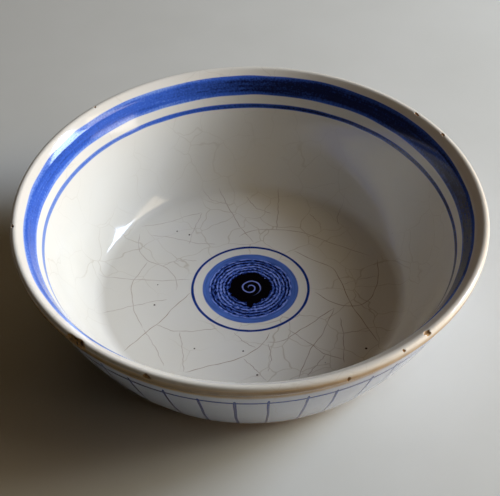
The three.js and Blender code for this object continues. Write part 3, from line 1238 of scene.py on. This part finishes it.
        # The chip mark is painted shade in each chip's hollow, deepest at its bottom.
        stain = np.zeros((len(seen), len(angle)))
        sunk = np.zeros_like(stain)
        for chip in self.chips:
            turn = (angle - chip.bearing + pi) % FULL_TURN - pi
            share = chip.share(seen - crest, turn * skin.rim_radius)
            stain = np.maximum(stain, chip.stain(share))
            sunk = np.maximum(sunk, share * chip.depth)
        points, along = skin.fold(seen, back, angle, -sunk, self.thickness)
        chipped = np.concatenate([stain, np.zeros((len(back), len(angle)))])
        marks = {Mark.ALONG: along, Mark.THIN_AND_SHADE: self.thin_glaze_and_shade(along, angle), Mark.CHIP: chipped}
        return Shell(points, self.map_outer * along / neck, angle, len(seen), True, marks)

    def outside_shell(self) -> Shell:
        """The outside coat: the skin from the neck to a wavering line above the foot, where it rolls in.

        The roll is a quarter circle's fall over its width, and the underside lies at the coat's depth.

        Returns:
            The closed coat.
        """
        skin = self.skin
        angle = np.linspace(0, FULL_TURN, self.columns, endpoint=False)
        start = skin.end_of("neck") + self.joint
        stop = skin.end_of("outside") - self.foot_clear + waver(angle, self.foot_waver, seed=21)
        seen = start + (stop - start) * np.linspace(0, 1, self.outside_rows)[:, None]
        roll = np.clip(1 - (stop - seen) / self.foot_roll, 0, 1)
        lift = -self.thickness * (1 - np.sqrt(1 - roll**2))
        back = start + (stop - start) * np.linspace(1, 0, self.outside_back_rows)[1:, None]
        points, along = skin.fold(seen, back, angle, lift, self.thickness)
        marks = {Mark.ALONG: along, Mark.THIN_AND_SHADE: self.thin_glaze_and_shade(along, angle), Mark.CHIP: np.zeros_like(along)}
        share = (along - start) / (stop - start)
        spread = self.map_inner + (self.map_outer - self.map_inner) * share
        return Shell(points, spread, angle, len(seen), False, marks)


@dataclass(frozen=True)
class Crack:
    """A crack across the floor: the depth of its stain, and places on it in millimetres.

    A place is how far it lies to the right of the floor's middle and behind it, with the wall laid out flat.
    """

    stain: float
    places: tuple[tuple[float, float], ...]

    def course(self, count: int, rounding: int) -> Array:
        """Points along the crack: straight lines through its places, rounded by a running mean.

        Args:
            count: number of points.
            rounding: points on each side that the mean takes in.

        Returns:
            Places in metres, one row each, where the first and the last are the crack's own ends.
        """
        corners = MM * np.array(self.places)
        reach = np.concatenate([[0], np.cumsum(np.linalg.norm(np.diff(corners, axis=0), axis=1))])
        even = np.linspace(0, reach[-1], count)
        line = np.stack([np.interp(even, reach, corners[:, side]) for side in (0, 1)], axis=1)
        before = 2 * line[0] - line[rounding:0:-1]
        after = 2 * line[-1] - line[-2 : -rounding - 2 : -1]
        window = np.ones(2 * rounding + 1) / (2 * rounding + 1)
        longer = np.vstack([before, line, after])
        return np.stack([np.convolve(longer[:, side], window, "valid") for side in (0, 1)], axis=1)


@dataclass
class Crazing:
    """The wide cracks and the pinholes of the floor, as thin films in the glaze's surface.

    They are drawn wider than real ones so that they show. A crack fades as it runs up the wall. A pinhole is
    how far it lies to the right of the floor's middle and behind it, and its radius, in millimetres. A film's
    section goes over its top and back under it: the reach in half widths or radii, the lift in films.
    """

    skin: Skin
    half_width: float = 0.3 * MM
    tremble: float = 0.18 * MM
    film: float = 0.006 * MM
    points: int = 60
    rounding: int = 4
    end_share: float = 1 / 14
    fade_from: float = 66 * MM
    fade_to: float = 92 * MM
    fade_share: float = 0.75
    pinhole_stain: float = 1.9
    pinhole_columns: int = 14
    map_radius: float = 100 * MM
    seed: int = 61
    cracks: tuple[Crack, ...] = (
        Crack(0.5, ((-62, 44), (-62, 29), (-56, 21), (-47, 17), (-41, 10), (-39.5, 5), (-40, -2))),
        Crack(0.55, ((-56, 21), (-64, 5), (-64, -3), (-61, -18.5), (-56, -29))),
        Crack(0.5, ((-84, 10), (-67, 7.6), (-50, 6), (-32, 6.7))),
        Crack(0.5, ((-79, -18), (-64, -13), (-50, -9), (-44, -8))),
        Crack(0.8, ((-65.5, -45), (-55, -32), (-48, -25), (-40, -13), (-32, -3))),
        Crack(0.6, ((-50, -26), (-40, -31), (-29, -31), (-17, -29))),
        Crack(0.55, ((-37, -31), (-35, -44), (-34, -59))),
        Crack(0.45, ((-56, -29), (-49, -42), (-44, -55))),
        Crack(0.8, ((-34, -59), (-18.5, -54), (-5, -50), (3.4, -43), (7.6, -39), (10, -32))),
        Crack(0.6, ((-9, -32), (-3.4, -39), (2.5, -43))),
        Crack(0.6, ((-4, -50), (2, -57), (7.6, -65))),
        Crack(0.8, ((7.6, -39), (15, -39.5), (22, -34), (32, -26), (44.5, -15))),
        Crack(0.6, ((9, -40), (10.4, -50), (8.4, -59))),
        Crack(0.75, ((23.5, -64), (30, -45), (37, -34), (44.5, -15))),
        Crack(0.7, ((28, -62), (38, -48))),
        Crack(0.7, ((19, -30), (30, -40), (38, -48), (47, -51))),
        Crack(0.7, ((47, -54), (48, -34), (47, -22))),
        Crack(0.85, ((34, -3), (45, -13), (55, -15), (64, -10), (68, 0), (70, 12), (70, 22))),
        Crack(0.85, ((23.5, 29), (37, 18.5), (45, 17), (50, 0), (54, -15), (60.5, -29), (67, -42))),
        Crack(0.65, ((-18, 81), (-13, 67), (-8, 54), (-3.4, 44), (2.5, 35))),
        Crack(0.6, ((17, 81), (16.5, 64), (15, 45))),
        Crack(0.55, ((-2, 74), (3.4, 64), (12.6, 59))),
        Crack(0.45, ((-28, 80), (-22, 71), (-12, 67))),
        Crack(0.65, ((-7, 39), (-2, 44.5), (10, 46), (23.5, 45), (34, 41), (44, 35), (57, 28), (67, 23.5))),
        Crack(0.45, ((-62, 49), (-47, 52), (-35, 58), (-27, 60.5))),
        Crack(0.45, ((-27, 60.5), (-32, 45), (-34, 34))),
        Crack(0.45, ((-56, 42), (-44, 40), (-30, 35), (-18.5, 34))),
        Crack(0.4, ((-48, 17), (-44, 20), (-37, 22), (-29, 21))),
        Crack(0.5, ((34, 59), (40, 50), (40, 44))),
        Crack(0.5, ((57, 71), (50, 57), (50, 49))),
        Crack(0.5, ((48, -33), (56, -32), (62, -32))),
        Crack(0.45, ((50, 2), (60, 6), (69, 8))),
    )
    pinholes: tuple[tuple[float, float, float], ...] = (
        (-41, 45, 0.5),
        (-34, 42, 0.6),
        (-51, -12, 0.6),
        (-50, 3, 0.4),
        (-4, -45, 0.55),
        (59, -44, 0.75),
        (-29, -43, 0.5),
        (3, -61, 0.6),
    )

    CRACK_REACH = (-1, -0.5, 0, 0.5, 1, 0.5, -0.5)
    CRACK_LIFT = (-1, 1, 1, 1, -1, -2, -2)
    PINHOLE_REACH = (0, 0.5, 0.85, 1, 0.5, 0)
    PINHOLE_LIFT = (1, 0.9, 0.5, -1, -2, -2)
    SLOW_TURN = 19
    QUICK_TURN = 43
    QUICK_SIZE = 0.6

    def lay(self, places: Array, lift: Array) -> tuple[Array, Array, Array]:
        """Lays flat places on the skin: their distance from the middle along it, and their angle round it.

        Args:
            places: places in metres, right and behind along the last axis.
            lift: height over the glaze.

        Returns:
            Points on the bowl, distances and angles.
        """
        distance = np.hypot(places[..., 0], places[..., 1])
        angle = np.arctan2(places[..., 1], places[..., 0])
        return self.skin.place(distance, angle, lift), distance, angle

    def crack_shell(self, crack: Crack, seed: int) -> Shell:
        """A crack as a strip: its course, widened to both sides and closed below.

        The course trembles by two seeded sines, and the width falls to nothing at both ends by a square root.

        Args:
            crack: the crack.
            seed: seed of the tremble.

        Returns:
            The closed strip.
        """
        course = crack.course(self.points, self.rounding)
        along = np.gradient(course, axis=0)
        along /= np.linalg.norm(along, axis=1, keepdims=True)
        aside = np.stack([-along[:, 1], along[:, 0]], axis=1)[:, None, :]
        share = np.linspace(0, 1, self.points)[:, None]
        phases = np.random.default_rng(seed).uniform(0, FULL_TURN, 2)
        slow = np.sin(self.SLOW_TURN * share + phases[0])
        quick = np.sin(self.QUICK_TURN * share + phases[1])
        sway = slow + self.QUICK_SIZE * quick
        ends = np.clip(np.minimum(share, 1 - share) / self.end_share, 0, 1) ** 0.5
        across = np.array(self.CRACK_REACH)
        lift = np.array(self.CRACK_LIFT) * self.film
        offset = self.tremble * sway * ends + self.half_width * ends * across
        points, distance, angle = self.lay(course[:, None, :] + offset[..., None] * aside, lift)
        fade = self.fade_share * eased(distance, self.fade_from, self.fade_to)
        edge = self.half_width * ends * (1 - np.abs(across))
        marks = {Mark.EDGE: edge, Mark.STAIN: crack.stain * (1 - fade)}
        return Shell(points, self.spread(distance), angle, self.points, True, marks)

    def pinhole_shell(self, right: float, behind: float, radius: float) -> Shell:
        """A pinhole as a dark round film that is highest in its middle, closed below.

        Args:
            right: place to the right of the floor's middle, in millimetres.
            behind: place behind it, in millimetres.
            radius: radius in millimetres.

        Returns:
            The closed film.
        """
        turn = np.linspace(0, FULL_TURN, self.pinhole_columns, endpoint=False)
        share = np.array(self.PINHOLE_REACH)[:, None]
        lift = np.array(self.PINHOLE_LIFT)[:, None] * self.film
        outwards = np.stack([np.cos(turn), np.sin(turn)], axis=-1)
        places = MM * (np.array([right, behind]) + radius * share[..., None] * outwards)
        points, distance, angle = self.lay(places, lift)
        stain = np.full(distance.shape, self.pinhole_stain)
        marks = {Mark.EDGE: MM * radius * (1 - share), Mark.STAIN: stain}
        return Shell(points, self.spread(distance), angle, len(share), True, marks)

    def spread(self, distance: Array) -> Array:
        """Place on the bake map, from its middle, for distances along the skin."""
        return MAP_REACH * distance / self.map_radius

    def build(self, material: Material) -> bpy.types.Object:
        """Makes the piece of all cracks and pinholes.

        Args:
            material: finish of the stain.

        Returns:
            The crazing's piece.
        """
        shells = [self.crack_shell(crack, self.seed + index) for index, crack in enumerate(self.cracks)]
        shells += [self.pinhole_shell(*pinhole) for pinhole in self.pinholes]
        return make_piece("floor_crazing", shells, material)


@dataclass
class PaintedRing:
    """A ring of paint on the glaze, as a film whose edges waver with the hand.

    It may sag towards +X, and dip at the front between the bearings given.
    """

    skin: Skin
    name: str
    start: float
    stop: float
    unsteady: float
    seed: int
    rows: int = 17
    columns: int = 480
    back_rows: int = 6
    sag: float = 0.0
    sag_power: int = 6
    dip: float = 0.0
    dip_start: float = radians(228)
    dip_full: float = radians(250)
    dip_fade: float = radians(306)
    dip_stop: float = radians(328)
    film: float = 0.03 * MM
    root: float = 0.006 * MM
    depth: float = 0.1 * MM
    map_inner: float = 0.3
    map_outer: float = 0.49

    def shell(self) -> Shell:
        """A lens-shaped film: its lift over the glaze is a half circle's height from one edge to the other.

        The sag is a high power of the cosine of the angle, on the +X side only. The dip is even, with an
        eased slope at both ends.

        Returns:
            The closed film.
        """
        angle = np.linspace(0, FULL_TURN, self.columns, endpoint=False)
        front = eased(angle, self.dip_start, self.dip_full) * eased(angle, self.dip_stop, self.dip_fade)
        sunk = self.sag * np.clip(np.cos(angle), 0, 1) ** self.sag_power + self.dip * front
        start = self.start + waver(angle, self.unsteady, self.seed) - sunk
        stop = self.stop + waver(angle, self.unsteady, self.seed + 1) - sunk
        share = np.linspace(0, 1, self.rows)[:, None]
        seen = start + (stop - start) * share
        lift = self.root + self.film * np.sqrt(1 - (2 * share - 1) ** 2)
        back = start + (stop - start) * np.linspace(1, 0, self.back_rows)[:, None]
        points, along = self.skin.fold(seen, back, angle, lift, self.depth)
        edge = np.minimum(along - start, stop - along)
        spread = self.map_inner + (self.map_outer - self.map_inner) * (along - start) / (stop - start)
        return Shell(points, spread, angle, self.rows, False, {Mark.ALONG: along, Mark.EDGE: edge})

    def build(self, material: Material, slot: Slot) -> bpy.types.Object:
        """Makes the ring's piece.

        Args:
            material: finish of the paint.
            slot: the record's slot for that finish; not used.

        Returns:
            The ring's piece.
        """
        return make_piece(self.name, [self.shell()], material)


@dataclass
class MedallionCentre:
    """The thick dark middle of the medallion: a ragged disc with a short tab where the brush left it."""

    skin: Skin
    radius: float = 11.6 * MM
    ragged: float = 0.42 * MM
    slowest: int = 4
    fastest: int = 70
    tab_bearing: float = radians(268)
    tab_reach: float = 2.7 * MM
    tab_half_width: float = radians(8)
    tab_steepness: int = 6
    film: float = 0.03 * MM
    root: float = 0.04 * MM
    depth: float = 0.1 * MM
    columns: int = 480
    rows: int = 24
    back_rows: int = 6
    seed: int = 31

    def build(self, material: Material) -> bpy.types.Object:
        """A disc whose edge is the radius, a quick waver and the tab, a steep bell about its bearing.

        The film is highest in the middle, as a quarter circle of the share of the radius.

        Args:
            material: finish of the paint.

        Returns:
            The centre's piece.
        """
        angle = np.linspace(0, FULL_TURN, self.columns, endpoint=False)
        rim = self.radius + waver(angle, self.ragged, self.seed, self.slowest, self.fastest)
        off_tab = (angle - self.tab_bearing) / self.tab_half_width
        rim = rim + self.tab_reach * np.exp(-(off_tab**self.tab_steepness))
        share = np.linspace(0, 1, self.rows)[:, None]
        lift = self.root + self.film * np.sqrt(1 - share**2)
        back = rim * np.linspace(1, 0, self.back_rows)[:, None]
        points, along = self.skin.fold(rim * share, back, angle, lift, self.depth)
        spread = MAP_REACH * along / rim.max()
        marks = {Mark.ALONG: along, Mark.EDGE: rim - along}
        shell = Shell(points, spread, angle, self.rows, True, marks)
        return make_piece("medallion_centre", [shell], material)


@dataclass
class OutsideBrushwork:
    """The outside line and the upright strokes that start a little above it, each by one pull of a brush."""

    skin: Skin
    line_drop: float = 18.7 * MM
    line_width: float = 2.3 * MM
    line_unsteady: float = 0.08 * MM
    line_seed: int = 43
    stroke_count: int = 44
    stroke_width: float = 1.5 * MM
    start_fullness: float = 1.1
    fullness_loss: float = 0.3
    width_spread: float = 0.06
    start_share: float = 0.03
    end_share: float = 0.1
    stroke_rise: float = 2.3 * MM
    rise_spread: float = 0.7 * MM
    stroke_stop: float = 5 * MM
    stop_spread: float = 1.5 * MM
    bearing_spread: float = radians(0.35)
    wander: float = 0.2 * MM
    slow_turn: float = 2.2 * pi
    quick_turn: float = 5.1 * pi
    quick_size: float = 0.4
    film: float = 0.05 * MM
    depth: float = 0.1 * MM
    rows: int = 56
    seen_columns: int = 7
    back_columns: int = 3
    back_reach: float = 0.8
    stroke_map_inner: float = 0.1
    stroke_map_reach: float = 0.34
    line_map_inner: float = 0.46
    line_map_outer: float = 0.4885
    seed: int = 41

    def line_shell(self) -> Shell:
        """The line round the bowl, as a film like the painted rings inside.

        Returns:
            The closed film.
        """
        start = self.skin.end_of("lip_inside") + self.line_drop
        stop = start + self.line_width
        ring = PaintedRing(self.skin, "outside_stripes", start, stop, self.line_unsteady, self.line_seed)
        return replace(ring, map_inner=self.line_map_inner, map_outer=self.line_map_outer).shell()

    def stroke_shells(self) -> list[Shell]:
        """All the strokes.

        A stroke is a strip on the skin from its start to its stop. Its middle wanders by two slow sines, and
        its half width is the brush's, fuller at the start and rounded to a point at both ends. Across it the
        film is a half circle's height, and its underside lies in the glaze.

        Returns:
            One shell for each stroke.
        """
        random = np.random.default_rng(self.seed)
        line = self.skin.end_of("lip_inside") + self.line_drop
        foot = self.skin.end_of("outside")
        share = np.linspace(0, 1, self.rows)[:, None]
        ends = np.minimum(eased(share, 0, self.start_share), eased(share, 1, 1 - self.end_share)) ** 0.5
        seen_side = np.linspace(-1, 1, self.seen_columns)
        back_side = np.linspace(self.back_reach, -self.back_reach, self.back_columns)
        across = np.concatenate([seen_side, back_side])
        top = self.film * np.sqrt(1 - across**2)
        lift = np.where(np.arange(across.size) < self.seen_columns, top, -self.depth)
        shells = []
        for index in range(self.stroke_count):
            bearing = (index + 0.5) / self.stroke_count * FULL_TURN + random.normal(0, self.bearing_spread)
            start = line - self.stroke_rise + random.normal(0, self.rise_spread)
            stop = foot - self.stroke_stop - abs(random.normal(0, self.stop_spread))
            phases = random.uniform(0, FULL_TURN, 2)
            slow = np.sin(self.slow_turn * share + phases[0])
            quick = np.sin(self.quick_turn * share + phases[1])
            sway = slow + self.quick_size * quick
            fullness = self.start_fullness - self.fullness_loss * share + random.normal(0, self.width_spread)
            half_width = self.stroke_width / 2 * fullness * ends
            along = start + (stop - start) * share
            radius, _ = self.skin.profile(along)
            angle = bearing + (self.wander * sway + half_width * across) / radius
            points = self.skin.place(along, angle, lift)
            spread = self.stroke_map_inner + self.stroke_map_reach * (along - line) / (foot - line)
            marks = {Mark.ALONG: along, Mark.EDGE: half_width * (1 - np.abs(across))}
            shells.append(Shell(points, spread, angle, self.rows, True, marks))
        return shells

    def build(self, material: Material) -> bpy.types.Object:
        """Makes the brushwork's piece.

        Args:
            material: finish of the paint.

        Returns:
            The line and the strokes as one piece.
        """
        shells = [self.line_shell(), *self.stroke_shells()]
        return make_piece("outside_stripes", shells, material)


@dataclass
class Brushwork:
    """The painted rings inside: band and line by their drop from the crest, medallion by its radii."""

    skin: Skin
    band_drop: float = 5.05 * MM
    band_width: float = 11.6 * MM
    band_unsteady: float = 0.22 * MM
    band_sag: float = 1.1 * MM
    line_gap: float = 4.55 * MM
    line_width: float = 2.9 * MM
    line_unsteady: float = 0.1 * MM
    line_sag: float = 0.8 * MM
    front_dip: float = 3.4 * MM
    ring_radius: float = 31.2 * MM
    ring_width: float = 1.7 * MM
    wash_radius: float = 26 * MM
    wash_inner: float = 9.5 * MM
    medallion_unsteady: float = 0.05 * MM
    broad_rows: int = 33

    def build(self, cobalt: Material, fine: Material, deep: Material, wash: Material) -> None:
        """Makes the band, the line, the medallion's ring and its wash.

        Args:
            cobalt: finish of the band.
            fine: finish of the line under it.
            deep: finish of the medallion's ring.
            wash: finish of the wash.
        """
        ring_of = partial(PaintedRing, self.skin)
        broad = self.broad_rows
        stop = self.skin.end_of("lip_inside") - self.band_drop
        start = stop - self.band_width
        band = ring_of("rim_band", start, stop, self.band_unsteady, seed=51, rows=broad)
        replace(band, sag=self.band_sag, dip=self.front_dip).build(cobalt, Slot.COBALT)
        stop = start - self.line_gap
        start = stop - self.line_width
        line = ring_of("rim_line", start, stop, self.line_unsteady, seed=53)
        replace(line, sag=self.line_sag, dip=self.front_dip).build(fine, Slot.COBALT)
        start = self.ring_radius - self.ring_width / 2
        stop = self.ring_radius + self.ring_width / 2
        unsteady = self.medallion_unsteady
        ring = ring_of("medallion_ring", start, stop, unsteady, seed=55)
        ring.build(deep, Slot.COBALT)
        disc = ring_of("medallion_wash", self.wash_inner, self.wash_radius, unsteady, seed=57, rows=broad)
        disc.build(wash, Slot.WASH)


@dataclass(frozen=True)
class Lamp:
    """A soft panel of light that faces the bowl from a bearing and a height over level.

    It is rolled about its middle, and may be left out of reflections, so that the glaze mirrors only a few
    panes.
    """

    name: str
    bearing: float
    elevation: float
    width: float
    height: float
    power: float
    colour: str
    roll: float = 0.0
    mirrored: bool = True
    distance: float = 1.5

    def hang(self) -> None:
        """Adds the panel to the scene, at its distance along its direction."""
        panel = bpy.data.lights.new(self.name, "AREA")
        panel.shape = "RECTANGLE"
        panel.size = self.width
        panel.size_y = self.height
        panel.energy = self.power
        panel.color = linear(self.colour)[:3]
        lamp = bpy.data.objects.new(self.name, panel)
        level = cos(self.elevation)
        towards = Vector((level * cos(self.bearing), level * sin(self.bearing), sin(self.elevation)))
        lamp.location = self.distance * towards
        lamp.rotation_mode = "QUATERNION"
        upright = (-towards).to_track_quat("-Z", "Y")
        lamp.rotation_quaternion = upright @ Quaternion((0, 0, 1), self.roll)
        lamp.visible_glossy = self.mirrored
        bpy.context.scene.collection.objects.link(lamp)


@dataclass
class Studio:
    """Plain pale floor, soft windows of light from the right, a weak warm fill, and the camera."""

    floor_level: float
    camera_distance: float = 0.6607
    camera_elevation: float = radians(45.865)
    camera_roll: float = radians(0.542)
    focal_pixels: float = 1227.6
    aim_row: float = 287.8
    floor_half: float = 4.0
    lamps: tuple[Lamp, ...] = (
        Lamp("sky", radians(16), radians(31.5), 0.5, 0.45, power=16.0, colour="#cadeff", roll=radians(24)),
        Lamp("window", radians(12), radians(20), 0.8, 0.35, power=17.6, colour="#fbfbf8", mirrored=False),
        Lamp("low_window", radians(-6), radians(5), 0.9, 0.32, power=9.8, colour="#ffd9b6", mirrored=False),
        Lamp("pane", radians(-16), radians(7), 0.7, 0.1, power=1.4, colour="#f6efe6", roll=radians(-12)),
        Lamp("side_window", radians(-9), radians(38.5), 0.65, 0.45, power=3.8, colour="#ffefd2"),
        Lamp("lit_room", radians(95), radians(45), 1.4, 1.4, power=1.6, colour="#ffd8a0", mirrored=False),
    )
    fill_colour: str = "#ffd49c"
    fill_strength: float = 0.018

    def lay_floor(self, material: Material) -> None:
        """Lays a flat square under the bowl.

        Args:
            material: finish of the floor.
        """
        half = self.floor_half
        corners = np.array([[-half, -half, 0], [half, -half, 0], [half, half, 0], [-half, half, 0]])
        mesh = bpy.data.meshes.new("floor")
        mesh.from_pydata(corners, [], [[0, 1, 2, 3]])
        mesh.materials.append(material)
        floor = bpy.data.objects.new("floor", mesh)
        bpy.context.scene.collection.objects.link(floor)
        floor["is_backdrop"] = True

    def light(self) -> None:
        """Hangs the lamps and fills the rest of the room with a weak even glow."""
        for lamp in self.lamps:
            lamp.hang()
        world = bpy.data.worlds.new("room")
        world.use_nodes = True
        background = world.node_tree.nodes["Background"]
        background.inputs["Color"].default_value = linear(self.fill_colour)
        background.inputs["Strength"].default_value = self.fill_strength
        bpy.context.scene.world = world
        bpy.context.scene.view_settings.view_transform = "Standard"

    def set_camera(self) -> None:
        """Sets the camera at the photograph's viewing angle, with the bowl's floor on its row."""
        camera = bpy.data.cameras.new("camera")
        camera.sensor_width = SENSOR_WIDTH
        camera.lens = self.focal_pixels * SENSOR_WIDTH / IMAGE_WIDTH
        body = bpy.data.objects.new("camera", camera)
        tilt = pi / 2 - self.camera_elevation + atan2(self.aim_row - IMAGE_HEIGHT / 2, self.focal_pixels)
        back = -self.camera_distance * cos(self.camera_elevation)
        up = self.camera_distance * sin(self.camera_elevation) + self.floor_level
        turn = Matrix.Rotation(tilt, 4, "X") @ Matrix.Rotation(-self.camera_roll, 4, "Z")
        body.matrix_world = Matrix.Translation((0, back, up)) @ turn
        bpy.context.scene.collection.objects.link(body)
        bpy.context.scene.camera = body


def main() -> None:
    """Builds the bowl from the clay outwards, then its studio."""
    logging.basicConfig(level=logging.INFO, format="%(name)s: %(message)s")
    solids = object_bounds()
    floor_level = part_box("medallion_centre")[1].z
    skin = Skin(rim_radius=solids[1].x, height=solids[1].z, floor_level=floor_level)

    white = WhiteGlaze()
    # The outside coat is painted darker and bluer than the inside: painted shade and cool sky light on the
    # outside wall.
    shaded_bluish = replace(white, name="shaded_blue_white_glaze", white="#c4cbd9", cream="#bcc2cf")
    broad = CobaltBrush()
    # The line is painted paler on the lit side and deeper on the +X side, turned from the light.
    fine = CobaltBrush(
        name="lined_cobalt",
        pale="#7690cc",
        streak_width=0.9 * MM,
        soft_edge=0.4 * MM,
        pale_edge=1.1 * MM,
        shade_bearing=radians(20),
        light_cosine=-1.0,
        shade_load=0.65,
        light_load=-0.7,
    )
    deep = CobaltBrush(
        name="deep_cobalt",
        pale="#3f5cb0",
        blue="#1d3a86",
        deep="#12265f",
        soft_edge=0.25 * MM,
        pale_edge=0.6 * MM,
        streak_load=1.5,
        shade_load=0.0,
    )
    outside = replace(deep, name="outside_cobalt", pale="#3c5aa8", blue="#203e8c", deep="#142768")

    ClayBody(skin).build(FiredClay().material())
    GlazeCoats(skin).build(white.material(), shaded_bluish.material())
    Crazing(skin).build(StainedCrack().material())
    rings = Brushwork(skin)
    rings.build(broad.material(), fine.material(), deep.material(), CobaltWash().material())
    MedallionCentre(skin).build(DarkCobalt().material())
    OutsideBrushwork(skin).build(outside.material())

    studio = Studio(floor_level)
    studio.lay_floor(PaintedTable().material())
    studio.light()
    studio.set_camera()


if __name__ == "__main__":
    main()
